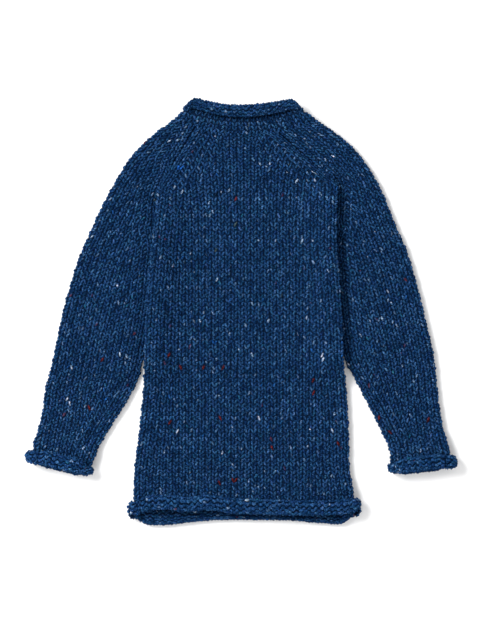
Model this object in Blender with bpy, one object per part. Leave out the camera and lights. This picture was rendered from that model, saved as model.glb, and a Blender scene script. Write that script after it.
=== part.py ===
"""A child's roll-neck sweater with raglan sleeves, hand-knitted in chunky tweed wool, lying on its back.

X runs across the body, Y up to the neck and Z up from the surface. The origin is on the surface, under the
middle of the garment. Tables are in millimetres, and the meshes are made in metres.

Every piece is a wall of cloth with an inner and an outer face. A row goes across a piece, from one fold or
seam to the other, and a roll carries the last row on round a curl that turns outwards.
"""

import math
from collections import namedtuple

import bmesh
import bpy
import numpy as np

MM = 0.001
WALL = 4.0
HALF_WALL = WALL / 2
SEAM_GAP = 0.35
FOLD_GAP, FOLD_GAP_FADES = 0.8, 14.0

# Heights of the two layers' middles, where one lies on the other on a flat surface
BACK_HEIGHT = HALF_WALL
LAYER_STEP = WALL + 0.5

# Radii of the folds, to the middle of the wall
SIDE_FOLD = 3.6
SEAM_FOLD = 2.6
PUFF_FADES, NECK_PUFF_FADES = 30.0, 13.0

# The rolled edges: the radius of the curl on the front, at the sides and under the back
Curl = namedtuple("Curl", "radius turn")
FRONT_CURL = Curl(radius=6.5, turn=308)
SIDE_CURL = Curl(radius=4.6, turn=280)
BACK_CURL = Curl(radius=3.5, turn=245)
CURL_STEPS = 7
CURL_TIGHTENS = 0.45 / 330

# The back's curl lies under the garment, so it lifts every rolled edge by this much. The neckband is lifted
# most a little above its seam
ROLL_LIFT = 2 * BACK_CURL.radius + 0.12
LIFT_LENGTH = 42.0
NECK_LIFT_ABOVE_SEAM = 12.0

# The neckband's seam, from the left shoulder to the right, and how far it sinks in front and behind
NECK_LEFT, NECK_RIGHT, NECK_SEAM_Y = -83.0, 94.0, 239.5
NECK_SINKS_FRONT, NECK_SINKS_BACK = 18.5, 10.0
NECK_ROUNDNESS = 0.7

# The raglan seams, from the neckband to the underarm, and the shares of them at which the body has its rows
Raglan = namedtuple("Raglan", "neck_x arm_x arm_y")
LEFT_RAGLAN = Raglan(neck_x=-57.0, arm_x=-103.5, arm_y=153.0)
RIGHT_RAGLAN = Raglan(neck_x=46.0, arm_x=122.0, arm_y=159.0)
RAGLAN_SHARES = (0.0, 0.22, 0.45, 0.72, 1.0)

# The body's sides below the underarms
Side = namedtuple("Side", "y left right")
BODY_SIDES = (
    Side(156, -103.5, 122),
    Side(90, -110.5, 120),
    Side(30, -116, 124.5),
    Side(-30, -119.5, 129.5),
    Side(-90, -121.5, 131.5),
    Side(-150, -127, 134.5),
    Side(-200, -132.5, 136.5),
    Side(-243, -133.5, 141),
)
BODY_ROWS = (138, 120, 104, 88, 50, 10, -30, -46, -60, -75, -92, -125, -160, -195, -215, -230)
HEM_Y = -243.0

# How far the hem's edge hangs past its straight line, along the garment's width
Wave = namedtuple("Wave", "share front back")
HEM_WAVE = (
    Wave(0.0, 0.0, 0.0),
    Wave(0.04, 0.5, 10.5),
    Wave(0.12, 0.0, 18.5),
    Wave(0.34, -2.0, 14.0),
    Wave(0.56, 1.5, 12.5),
    Wave(0.86, 4.0, 17.5),
    Wave(0.96, 2.0, 9.5),
    Wave(1.0, 0.0, 0.0),
)

# Where the body's sides lie on the sleeves: the sides are raised between these heights along the body,
# and the sleeves reach under them between the other four
UNDERARM_GAP = 1.5
TUCK_DEPTH = 10.0
TUCK_LIFT = 9.6
TUCK_HOLDS, TUCK_FADES = 15.0, 52.0
Ramp = namedtuple("Ramp", "low_start low_full high_full high_start")
LIFT_RAMP = Ramp(-92, -60, 120, 152)
REACH_RAMP = Ramp(-50, -26, 90, 116)

# The sleeves above the underarms: a share of the raglan seam, and the fold along the shoulder
Shoulder = namedtuple("Shoulder", "share left_x left_y right_x right_y")
SHOULDER_ROWS = (
    Shoulder(0.0, NECK_LEFT, NECK_SEAM_Y, NECK_RIGHT, NECK_SEAM_Y),
    Shoulder(0.34, -110.5, 222, 117, 223),
    Shoulder(0.70, -136, 194, 143, 200),
    Shoulder(1.0, -155.5, 164.5, 167, 169),
)

# The sleeves below the underarms: the outer fold and the inner seam
Arm = namedtuple("Arm", "outer_x outer_y inner_x inner_y")
LEFT_ARM = (
    Arm(-167, 144, -106.5, 130),
    Arm(-178, 122, -109, 107),
    Arm(-188, 100, -110.5, 82),
    Arm(-201, 70, -113.5, 48),
    Arm(-213, 33, -117, 7),
    Arm(-224.5, -10.5, -119.5, -38),
    Arm(-231, -42, -122.5, -62),
    Arm(-237, -70, -132, -86),
    Arm(-243, -92, -145.5, -112),
    Arm(-248, -125.5, -164.5, -143),
    Arm(-254, -152, -176.5, -166),
    Arm(-260, -182.5, -183, -194.5),
)
RIGHT_ARM = (
    Arm(178, 148, 121.5, 134),
    Arm(187.5, 126, 120.5, 112),
    Arm(196, 106, 120.5, 84),
    Arm(206.5, 80, 123, 52),
    Arm(222, 29, 127, 8),
    Arm(233, -20.5, 130.5, -38),
    Arm(238.5, -43, 134, -62),
    Arm(243, -68, 145, -86),
    Arm(246, -95.5, 158, -113),
    Arm(250.5, -129.5, 173, -144.5),
    Arm(255, -155, 183.5, -169),
    Arm(262, -187, 188, -193),
)
CUFF_MOUTH = 1.5

# The inner seam is not yet folded fully round on the first row below the underarm
UNDERARM_CURL = 0.6

# The neckband: how wide each row is and how high its sides and its middle stand
Band = namedtuple("Band", "left right side_y front_sinks back_sinks")
NECKBAND_ROWS = (
    Band(NECK_LEFT, NECK_RIGHT, NECK_SEAM_Y + SEAM_GAP, NECK_SINKS_FRONT, NECK_SINKS_BACK),
    Band(-76, 86, 245, 15, 9.5),
    Band(-69.5, 78, 251, 12, 9.2),
    Band(-64.5, 71.5, 259, 8.8, 9.0),
)

# Distances in from a fold or seam at which a row has its points, closer together on rows shorter than
# FULL_LENGTH, and how many lie between
EDGE_POINTS = (0.0, 1.9, 3.8, 5.7, 14.0, 27.0)
FULL_LENGTH = 75.0
BODY_MIDDLE, SLEEVE_MIDDLE, BAND_MIDDLE = 4, 1, 5

# The wool of each piece, in linear colour
TWEED = {
    "front": (0.0097, 0.0323, 0.0908),
    "back": (0.0090, 0.0305, 0.0870),
    "sleeve_left": (0.0093, 0.0310, 0.0880),
    "sleeve_right": (0.0100, 0.0335, 0.0930),
    "neckband": (0.0120, 0.0370, 0.1000),
}
ROUGHNESS = 0.9

# A row's plan(front, share) gives its line on the surface, its length is measured straight across, and lift(y)
# gives its height. Each of its ends has a fold of some radius, turned through a share of a right angle, raised,
# and puffed up as far in as fades. Its mouth opens the two layers
End = namedtuple("End", "fold curl raised fades")
Row = namedtuple("Row", "plan length left right lift mouth")
OPEN_END = End(SIDE_FOLD, 0.0, 0.0, PUFF_FADES)


def smoothstep(x, low, high):
    share = min(max((x - low) / (high - low), 0.0), 1.0)
    return share * share * (3 - 2 * share)


def ramp(y, heights):
    """0 outside the ramp's four heights, 1 between the inner two."""
    rising = smoothstep(y, heights.low_start, heights.low_full)
    falling = smoothstep(y, heights.high_full, heights.high_start)
    return rising * (1 - falling)


def along(rows, column, x, key):
    """A column of a table at x, on a smooth curve through its rows."""
    keys = np.array([getattr(row, key) for row in rows], float)
    values = np.array([getattr(row, column) for row in rows], float)
    if keys[0] > keys[-1]:
        keys, values = keys[::-1], values[::-1]
    slopes = np.gradient(values, keys)
    x = float(np.clip(x, keys[0], keys[-1]))
    i = int(np.clip(np.searchsorted(keys, x) - 1, 0, len(keys) - 2))
    width = keys[i + 1] - keys[i]
    t = (x - keys[i]) / width
    start = (1 + 2 * t) * (1 - t) ** 2 * values[i] + t * (1 - t) ** 2 * width * slopes[i]
    end = t * t * (3 - 2 * t) * values[i + 1] + t * t * (t - 1) * width * slopes[i + 1]
    return start + end


def neck_seam(x, front):
    """The neckband's seam at x."""
    share = min(max((x - NECK_LEFT) / (NECK_RIGHT - NECK_LEFT), 0.0), 1.0)
    sinks = NECK_SINKS_FRONT if front else NECK_SINKS_BACK
    return NECK_SEAM_Y - sinks * math.sin(math.pi * share) ** NECK_ROUNDNESS


def neck_lift(y):
    """The neckband's curl lifts the garment around it."""
    return ROLL_LIFT * smoothstep(y, NECK_SEAM_Y - LIFT_LENGTH, NECK_SEAM_Y + NECK_LIFT_ABOVE_SEAM)


def raglan_point(raglan, share, front):
    neck_y = neck_seam(raglan.neck_x, front)
    x = raglan.neck_x + share * (raglan.arm_x - raglan.neck_x)
    return x, neck_y + share * (raglan.arm_y - neck_y)


def level(height):
    """A row's lift, where it is the same all along the row."""
    return lambda y: height


def straight(left, right):
    """A row's plan between two points, the same in both layers."""

    def plan(front, share):
        return tuple(a + share * (b - a) for a, b in zip(left, right))

    return plan


def wall_point(row, front, width_along, out, from_left):
    """A point of one layer, width_along from a row's end over the cloth and out from its middle."""
    end, length = row.left if from_left else row.right, row.length
    bend = math.pi / 2 * end.curl
    arc = end.fold * bend
    inset = HALF_WALL * end.curl + end.fold * math.sin(bend)
    puff = (2 * end.fold - LAYER_STEP) * end.curl
    if width_along < arc:
        angle = bend - width_along / end.fold
        inward = inset - (end.fold + out) * math.sin(angle)
        rise = (end.fold + out) * math.cos(angle)
        height = BACK_HEIGHT + end.raised
        height += LAYER_STEP + puff - end.fold + rise if front else end.fold - rise
    else:
        inward = inset + width_along - arc
        holds = 1 - smoothstep(inward, TUCK_HOLDS, min(TUCK_FADES, length / 2))
        opens = 1 - smoothstep(inward, 2 * end.fold, min(end.fades, length / 2))
        height = BACK_HEIGHT + end.raised * holds
        height += LAYER_STEP + puff * opens + row.mouth * (1 - opens) + out if front else -out
    share = inward / length
    x, y = row.plan(front, share if from_left else 1 - share)
    return x, y, height + row.lift(y)


def widths(row, middle, gaps):
    """A row's points: the distance over the cloth from the nearer end, whether that is the left, and the share
    of the row's length."""
    length = row.length
    shrink = min(1.0, length / FULL_LENGTH)
    spans = []
    for end in (row.left, row.right):
        bend = math.pi / 2 * end.curl
        inset = HALF_WALL * end.curl + end.fold * math.sin(bend)
        spans.append((end.fold * bend - inset, [shrink * p for p in EDGE_POINTS]))
    (left_more, left_points), (right_more, right_points) = spans
    start, finish = left_points[-1] - left_more, length - (right_points[-1] - right_more)
    points = [(max(p, gaps[0]), True, max(p - left_more, 0) / length) for p in left_points]
    for k in range(1, middle + 1):
        inward = start + (finish - start) * k / (middle + 1)
        if inward < length / 2:
            points.append((inward + left_more, True, inward / length))
        else:
            points.append((length - inward + right_more, False, inward / length))
    for p in reversed(right_points):
        points.append((max(p, gaps[1]), False, 1 - max(p - right_more, 0) / length))
    return points


def curl_at(share, front, wave_share):
    """The curl part-way round the rolled edge: wave_share is 0 at a side fold and 1 away from it."""
    near = FRONT_CURL if front else BACK_CURL
    radius = SIDE_CURL.radius + (near.radius - SIDE_CURL.radius) * wave_share
    turn = SIDE_CURL.turn + (near.turn - SIDE_CURL.turn) * wave_share
    angle = math.radians(turn * share)
    return radius, angle


def layer(rows, front, middle, gaps, out, facing, hangs):
    """One layer of a piece, as rows of points, with the roll's rows after the last.

    gaps are the seam's gaps at the two ends, facing is the way that the rolled edge faces, and hangs gives how
    far it hangs past its straight line at each share.
    """
    grid = []
    for row in rows:
        points = widths(row, middle, gaps)
        grid.append([wall_point(row, front, w, out, from_left) for w, from_left, _ in points])
    row = rows[-1]
    points = widths(row, middle, gaps)
    count = len(points) - 1
    side_points = len(EDGE_POINTS) - 1
    for step in range(CURL_STEPS + 1):
        line = []
        for i, (w, from_left, share) in enumerate(points):
            away = min(i, count - i) / side_points
            radius, angle = curl_at(step / CURL_STEPS, front, smoothstep(away, 0.0, 1.0))
            tight = radius * (1 - CURL_TIGHTENS * math.degrees(angle))
            lift_out = radius - (tight - out) * math.cos(angle)
            forward = (tight - out) * math.sin(angle) + hangs(share, front)
            x, y, z = wall_point(row, front, w, lift_out, from_left)
            line.append((x + facing[0] * forward, y + facing[1] * forward, z))
        grid.append(line)
    return grid


def two_faces(make):
    """The outer and the inner face of a piece, from a function of the distance out from the wall's middle."""
    return [np.array(make(out), float) * MM for out in (HALF_WALL, -HALF_WALL)]


def cloth_object(name, faces, closed, material):
    """A closed wall between two grids of points. A closed piece has its last column joined to its first."""
    outer, inner = faces
    rows, columns = outer.shape[:2]
    mesh = bpy.data.meshes.new(name)
    bm = bmesh.new()
    grids = [[[bm.verts.new(point) for point in line] for line in grid] for grid in (outer, inner)]
    spans = columns if closed else columns - 1
    for grid in grids:
        for j in range(rows - 1):
            for i in range(spans):
                k = (i + 1) % columns
                bm.faces.new((grid[j][i], grid[j][k], grid[j + 1][k], grid[j + 1][i]))
    for j in (0, rows - 1):
        for i in range(spans):
            k = (i + 1) % columns
            bm.faces.new((grids[0][j][i], grids[0][j][k], grids[1][j][k], grids[1][j][i]))
    if not closed:
        for i in (0, columns - 1):
            for j in range(rows - 1):
                bm.faces.new((grids[0][j][i], grids[0][j + 1][i], grids[1][j + 1][i], grids[1][j][i]))
    bmesh.ops.recalc_face_normals(bm, faces=bm.faces)
    bmesh.ops.triangulate(bm, faces=bm.faces)
    bm.to_mesh(mesh)
    bm.free()
    mesh.shade_smooth()
    mesh.materials.append(material)
    obj = bpy.data.objects.new(name, mesh)
    bpy.context.scene.collection.objects.link(obj)
    return obj


def wool(name, colour):
    material = bpy.data.materials.new(name)
    material.use_nodes = True
    shader = material.node_tree.nodes["Principled BSDF"]
    shader.inputs["Base Color"].default_value = (*colour, 1.0)
    shader.inputs["Roughness"].default_value = ROUGHNESS
    shader.inputs["Metallic"].default_value = 0.0
    return material


def body_rows():
    """Rows of the front or the back, from the neckband's seam to the start of the hem's roll."""
    rows = []
    for share in RAGLAN_SHARES:

        def plan(front, across, share=share):
            left = raglan_point(LEFT_RAGLAN, share, front)
            right = raglan_point(RIGHT_RAGLAN, share, front)
            x = left[0] + across * (right[0] - left[0])
            y = left[1] + across * (right[1] - left[1])
            chord = [raglan_point(r, 0.0, front) for r in (LEFT_RAGLAN, RIGHT_RAGLAN)]
            neck_x = chord[0][0] + across * (chord[1][0] - chord[0][0])
            sinks = chord[0][1] + across * (chord[1][1] - chord[0][1]) - neck_seam(neck_x, front)
            return x, y - sinks * (1 - share) ** 2

        length = math.dist(plan(True, 0.0), plan(True, 1.0))
        rows.append(Row(plan, length, OPEN_END, OPEN_END, neck_lift, 0.0))
    for y in (*BODY_ROWS, HEM_Y):
        left = along(BODY_SIDES, "left", y, "y")
        right = along(BODY_SIDES, "right", y, "y")
        curl = smoothstep(-y, -LEFT_RAGLAN.arm_y, -BODY_ROWS[1])
        end = End(SIDE_FOLD, curl, TUCK_LIFT * ramp(y, LIFT_RAMP), PUFF_FADES)
        lift = ROLL_LIFT * smoothstep(-y, -HEM_Y - LIFT_LENGTH, -HEM_Y)
        rows.append(Row(straight((left, y), (right, y)), right - left, end, end, level(lift), 0.0))
    return rows


def hem_hangs(share, front):
    return along(HEM_WAVE, "front" if front else "back", share, "share")


def make_panel(name, front, material):
    def face(out):
        gaps = (SEAM_GAP / 2, SEAM_GAP / 2)
        return layer(body_rows(), front, BODY_MIDDLE, gaps, out, (0.0, -1.0), hem_hangs)

    return cloth_object(name, two_faces(face), False, material)


def sleeve_rows(side):
    """Rows of a sleeve, from the neckband to the start of the cuff's roll, each from its outer fold inwards."""
    rows = []
    left = side < 0
    raglan = LEFT_RAGLAN if left else RIGHT_RAGLAN
    for k, shoulder in enumerate(SHOULDER_ROWS):
        fold_x = shoulder.left_x if left else shoulder.right_x
        fold_y = shoulder.left_y if left else shoulder.right_y

        def plan(front, across, k=k, shoulder=shoulder, fold=(fold_x, fold_y)):
            inner_x, inner_y = raglan_point(raglan, shoulder.share, front)
            inner_x += side * SEAM_GAP
            x = fold[0] + across * (inner_x - fold[0])
            if k == 0:
                return x, neck_seam(x, front)
            return x, fold[1] + across * (inner_y - fold[1])

        start, finish = plan(True, 0.0), plan(True, 1.0)
        length = math.dist(start, finish) if k else abs(finish[0] - start[0])
        ends = End(SIDE_FOLD, 1.0, 0.0, PUFF_FADES), End(SEAM_FOLD, 0.0, 0.0, PUFF_FADES)
        rows.append(Row(plan, length, *ends, neck_lift, 0.0))
    arms = LEFT_ARM if left else RIGHT_ARM
    for k, arm in enumerate(arms):
        reach = TUCK_DEPTH * ramp(arm.inner_y, REACH_RAMP)
        outer = (arm.outer_x, arm.outer_y)
        inner = (arm.inner_x + side * (UNDERARM_GAP - reach), arm.inner_y)
        curl = UNDERARM_CURL if k == 0 else 1.0
        to_cuff = math.dist((arm.inner_x, arm.inner_y), (arms[-1].inner_x, arms[-1].inner_y))
        lift = ROLL_LIFT * (1 - smoothstep(to_cuff, 0.0, LIFT_LENGTH))
        mouth = CUFF_MOUTH * (k == len(arms) - 1)
        ends = End(SIDE_FOLD, 1.0, 0.0, PUFF_FADES), End(SEAM_FOLD, curl, 0.0, PUFF_FADES)
        rows.append(Row(straight(outer, inner), math.dist(outer, inner), *ends, level(lift), mouth))
    return rows


def no_hang(share, front):
    return 0.0


def make_sleeve(name, side, material):
    arms = LEFT_ARM if side < 0 else RIGHT_ARM
    cuff = arms[-1]
    across = (cuff.inner_x - cuff.outer_x, cuff.inner_y - cuff.outer_y)
    width = math.hypot(*across)
    facing = (-side * across[1] / width, side * across[0] / width)

    def face(out):
        rows = sleeve_rows(side)
        gaps = (0.0, SEAM_GAP)
        sides = [layer(rows, front, SLEEVE_MIDDLE, gaps, out, facing, no_hang) for front in (True, False)]
        sheet = []
        for top, under in zip(*sides):
            # From the front's inner edge out to the fold, and back under to the back's inner edge
            sheet.append(top[::-1] + under[1:])
        return sheet

    return cloth_object(name, two_faces(face), False, material)


def make_neckband(name, material):
    rows = []
    for band in NECKBAND_ROWS:

        def plan(front, across, band=band):
            x = band.left + across * (band.right - band.left)
            sinks = band.front_sinks if front else band.back_sinks
            share = min(max(across, 0.0), 1.0)
            inward = min(share, 1 - share) * (band.right - band.left)
            clear = FOLD_GAP * (1 - smoothstep(inward, 0.0, FOLD_GAP_FADES))
            return x, band.side_y + clear - sinks * math.sin(math.pi * share) ** NECK_ROUNDNESS

        end = End(SIDE_FOLD, 1.0, 0.0, NECK_PUFF_FADES)
        rows.append(Row(plan, band.right - band.left, end, end, neck_lift, 0.0))

    def face(out):
        gaps = (0.0, 0.0)
        sides = [layer(rows, front, BAND_MIDDLE, gaps, out, (0.0, 1.0), no_hang) for front in (True, False)]
        return [top + under[-2:0:-1] for top, under in zip(*sides)]

    return cloth_object(name, two_faces(face), True, material)


def main():
    for obj in list(bpy.data.objects):
        bpy.data.objects.remove(obj, do_unlink=True)
    materials = {name: wool("wool_" + name, colour) for name, colour in TWEED.items()}
    make_panel("front", True, materials["front"])
    make_panel("back", False, materials["back"])
    make_sleeve("sleeve_left", -1, materials["sleeve_left"])
    make_sleeve("sleeve_right", 1, materials["sleeve_right"])
    make_neckband("neckband", materials["neckband"])


main()
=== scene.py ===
"""A child's roll-neck sweater in chunky tweed wool, laid out flat on its back and seen from straight above.

X runs across the body, Y up to the neck and Z up from the surface. Tables are in millimetres.
"""

import math
from collections import namedtuple

import bpy
import numpy as np
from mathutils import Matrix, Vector


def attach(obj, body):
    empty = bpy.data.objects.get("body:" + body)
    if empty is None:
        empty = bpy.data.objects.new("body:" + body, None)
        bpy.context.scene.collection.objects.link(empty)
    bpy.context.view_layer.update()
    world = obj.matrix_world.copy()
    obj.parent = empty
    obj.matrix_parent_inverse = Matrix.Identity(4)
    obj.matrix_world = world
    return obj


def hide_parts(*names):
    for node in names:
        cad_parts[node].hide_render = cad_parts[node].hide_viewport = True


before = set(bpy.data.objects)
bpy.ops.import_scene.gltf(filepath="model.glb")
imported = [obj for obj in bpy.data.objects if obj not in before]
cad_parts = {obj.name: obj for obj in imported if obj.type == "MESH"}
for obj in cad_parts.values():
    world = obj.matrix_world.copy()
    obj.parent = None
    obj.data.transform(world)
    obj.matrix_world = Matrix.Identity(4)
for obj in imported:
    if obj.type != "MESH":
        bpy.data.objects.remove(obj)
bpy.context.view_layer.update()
bpy.ops.object.select_all(action="DESELECT")


# The front is one panel of plain knitting in two-ply chunky wool, shaped at the raglan seams, where two wales
# run along the edge. Its cast-on edge curls up by itself and shows the cloth's wrong side. Each stitch is two
# strands of yarn that lie in a V on a thin shell of cloth.

MM = 0.001

# How thick the cloth is, and how high the middles of the back and the front lie
WALL, BETWEEN_LAYERS = 4.0, 0.5
HALF_WALL = WALL / 2
BACK_HEIGHT = HALF_WALL
LAYER_STEP = WALL + BETWEEN_LAYERS

# The folds at the body's sides and the sleeves' seams, how far in from them the layers are puffed up, and from
# where down the body's folds are full
SIDE_FOLD, SEAM_FOLD = 3.6, 2.6
PUFF_FADES, FOLD_FULL_Y = 30.0, 120.0

# A row's end: its fold's radius, its curl as a share of a right angle, its height, and how far in it is puffed
End = namedtuple("End", "fold curl raised fades")

# The curled edges: the curl's radius and turn on the front, at the sides and under the back. It tightens as
# it turns, and goes from the sides' size to the middle's over CURL_REACH.
Curl = namedtuple("Curl", "radius turn")
FRONT_CURL, SIDE_CURL, BACK_CURL = Curl(6.5, 308), Curl(5.0, 290), Curl(3.5, 245)
CURL_TIGHTENS = math.degrees(0.45 / 330)
CURL_REACH = ((0.0, 1.9, 3.8, 5.7, 14.0, 27.0), (0.0, 0.2, 0.4, 0.6, 0.8, 1.0))
FULL_LENGTH = 75.0
ROLL_COURSES = 5
ROLL_LIFT, LIFT_LENGTH = 7.12, 42.0
HEM_SPREAD = 1.35
HEM_MOUTH, MOUTH_LENGTH, MOUTH_FADES = 3.8, 34.0, (3.0, 26.0)

# The neckband's seam: its ends, and how far it sinks between them on the front and on the back
NECK_LEFT, NECK_RIGHT, NECK_SEAM_Y = -83.0, 94.0, 239.5
NECK_SINKS = {True: 18.5, False: 10.0}
NECK_ROUNDNESS = 0.7
NECK_LIFT_ABOVE_SEAM = 12.0

Raglan = namedtuple("Raglan", "neck_x arm_x arm_y")
LEFT_RAGLAN, RIGHT_RAGLAN = Raglan(-57.0, -103.5, 153.0), Raglan(46.0, 122.0, 159.0)

Side = namedtuple("Side", "y left right")
BODY_SIDES = (
    Side(156, -103.5, 122),
    Side(90, -110.5, 120),
    Side(30, -116, 124.5),
    Side(-30, -119.5, 127.6),
    Side(-58, -120.3, 128.4),
    Side(-90, -121.5, 132.0),
    Side(-150, -127.3, 135.8),
    Side(-200, -133, 137.2),
    Side(-226, -133.4, 141.2),
    Side(-243, -132.3, 141.2),
)
SIDE_TOP_Y, HEM_Y = 138.0, -243.0

# How far the hem's edge hangs past its straight line, along the garment's width
Wave = namedtuple("Wave", "share front back")
HEM_WAVE = (
    Wave(0.0, 0.0, 6.5),
    Wave(0.04, -5.0, 15.0),
    Wave(0.12, -8.5, 18.0),
    Wave(0.24, -6.0, 15.0),
    Wave(0.34, -8.0, 12.3),
    Wave(0.45, -4.0, 11.3),
    Wave(0.56, -3.0, 11.8),
    Wave(0.72, -1.5, 12.3),
    Wave(0.86, -1.5, 15.5),
    Wave(0.96, -2.8, 13.8),
    Wave(1.0, -4.0, 3.5),
)
HANG_STARTS = 60.0

# The back dips just past the front's curl: how deep and how long, how far past the front's row the curl
# reaches, and how the dip fades towards the body's sides
DIP, DIP_LENGTH, CURL_COVERS, DIP_FADES = 5.5, 4.4, 11.6, (8.0, 24.0)

# The body's sides lie on the sleeves: how far that raises them, how far in it holds and fades, and where
LEFT_LIFT, RIGHT_LIFT = 9.6, 12.4
TUCK_HOLDS, TUCK_FADES = 15.0, 52.0
Ramp = namedtuple("Ramp", "low_start low_full high_full high_end")
LIFT_RAMP = Ramp(-96, -66, 140, 169)

# The knitting: a course is a row of stitches and a wale is a column of them
COURSE, WALE = 5.25, 8.1
NECK_WALE, NECK_FANS = 8.9, 130
RAGLAN_COURSES, UNDERARM_COURSES = 14.5, 3.4
RAGLAN_DEEP, SIDE_STARTS = RAGLAN_COURSES * COURSE, (RAGLAN_COURSES + UNDERARM_COURSES) * COURSE
BODY_DEEP = SIDE_STARTS + SIDE_TOP_Y - HEM_Y
BODY_COURSES = BODY_DEEP / COURSE
BODY_MIDDLE_X = 4.5
EDGE_WALES, EASED_WALES = 2, 4

# Soft troughs in the cloth, from one point to another, and a ridge has a depth below nothing. The back's lift
# it off the table.
Crease = namedtuple("Crease", "x y to_x to_y width depth")
BODY_CREASES = (
    Crease(-48, 78, -30, 32, 9, 0.9),
    Crease(-112, 40, -122, -215, 5, 0.8),
    Crease(-98, 60, -108, -190, 4, -0.5),
    Crease(114, 60, 126, -220, 5, 0.9),
    Crease(104, 90, 116, -170, 4, -0.5),
    Crease(30, 20, 62, -60, 22, 0.8),
    Crease(-70, -60, -40, -150, 20, 0.7),
    Crease(-20, -185, 70, -205, 16, -0.8),
    Crease(86, 150, 96, 96, 9, 0.9),
    Crease(-82, 150, -92, 100, 8, 0.7),
)
BACK_CREASES = (
    Crease(-62, 120, -38, 66, 11, 1.3),
    Crease(48, 96, 84, 20, 13, 1.1),
    Crease(-88, -20, -30, -52, 15, 1.2),
    Crease(-8, -70, 28, -168, 12, 1.3),
    Crease(92, -96, 70, -196, 10, 1.0),
    Crease(-104, -120, -92, -200, 9, 0.9),
)
CREASE_ENDS = (-0.1, 0.3)
CREASES_FADE, CREASES_END = (2.0, 22.0), 45.0
SWELL, SWELL_LENGTH, SWELL_SLANTS = 0.45, 95.0, (0.4, 0.3)
SEAM_DEPTH, SEAM_WIDTH = 2.1, 4.0

# The small waves of a folded edge
Ripple = namedtuple("Ripple", "height length start")
RIPPLES = (Ripple(0.6, 2.9, 0.0), Ripple(0.4, 1.6, 1.3))
EDGE_WAVE, WAVE_REACH = 0.75, 9.0


def ease(x, low, high):
    """0 below low, 1 above high, and a smooth step between them."""
    share = np.clip((x - low) / (high - low), 0.0, 1.0)
    return share * share * (3 - 2 * share)


def ramp(y, heights):
    """0 outside the ramp's four heights, 1 between the inner two."""
    rising = ease(y, heights.low_start, heights.low_full)
    return rising * (1 - ease(y, heights.high_full, heights.high_end))


def curve(keys, values, x):
    """Values at x, on a smooth curve through them."""
    slopes = np.gradient(values, keys)
    x = np.clip(x, keys[0], keys[-1])
    i = np.clip(np.searchsorted(keys, x) - 1, 0, len(keys) - 2)
    width = keys[i + 1] - keys[i]
    t = (x - keys[i]) / width
    start = (1 + 2 * t) * (1 - t) ** 2 * values[i] + t * (1 - t) ** 2 * width * slopes[i]
    return start + t * t * (3 - 2 * t) * values[i + 1] + t * t * (t - 1) * width * slopes[i + 1]


def along(rows, column, x, key):
    """A column of a table at x, on a smooth curve through its rows."""
    keys = np.array([getattr(row, key) for row in rows], float)
    values = np.array([getattr(row, column) for row in rows], float)
    if keys[0] > keys[-1]:
        keys, values = keys[::-1], values[::-1]
    return curve(keys, values, x)


def neck_seam(x, front):
    """The neckband's seam at x."""
    share = np.clip((x - NECK_LEFT) / (NECK_RIGHT - NECK_LEFT), 0.0, 1.0)
    sinks = np.where(front, NECK_SINKS[True], NECK_SINKS[False])
    return NECK_SEAM_Y - sinks * np.sin(np.pi * share) ** NECK_ROUNDNESS


def neck_lift(y):
    """The neckband's curl lifts the garment around it."""
    return ROLL_LIFT * ease(y, NECK_SEAM_Y - LIFT_LENGTH, NECK_SEAM_Y + NECK_LIFT_ABOVE_SEAM)


def end_sizes(fold, curl):
    """How much cloth a fold at a row's end takes, and how far in it reaches."""
    bend = np.pi / 2 * curl
    return fold * bend, HALF_WALL * curl + fold * np.sin(bend)


def cloth_width(length, ends):
    """The cloth's own width along a row, round the folds at its ends."""
    return length + sum(arc - inset for arc, inset in (end_sizes(e.fold, e.curl) for e in ends))


def on_cloth(plan, length, ends, width_along, front, out, lift, mouth=0.0):
    """Points of one layer, width_along from a row's left end over the cloth and out from its middle."""
    width = cloth_width(length, ends)
    far = width_along > width / 2
    w = np.where(far, width - width_along, width_along)
    fold, curl, raised, fades = (np.where(far, b, a) for a, b in zip(*ends))
    arc, inset = end_sizes(fold, curl)
    angle = np.pi / 2 * curl - w / fold
    folded = w < arc
    rise = (fold + out) * np.cos(angle)
    inward = np.where(folded, inset - (fold + out) * np.sin(angle), inset + w - arc)
    holds = 1 - ease(inward, TUCK_HOLDS, np.minimum(TUCK_FADES, length / 2))
    opens = 1 - ease(inward, 2 * fold, np.minimum(fades, length / 2))
    puff = (2 * fold - LAYER_STEP) * curl
    in_fold = raised + np.where(front, LAYER_STEP + puff - fold + rise, fold - rise)
    flat = raised * holds + np.where(front, LAYER_STEP + puff * opens + mouth * (1 - opens) + out, -out)
    share = np.where(far, 1 - inward / length, inward / length)
    x, y = plan(share)
    return x, y, BACK_HEIGHT + np.where(folded, in_fold, flat) + lift(y), share


CURL_RADII = (SIDE_CURL.radius, FRONT_CURL.radius)


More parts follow.
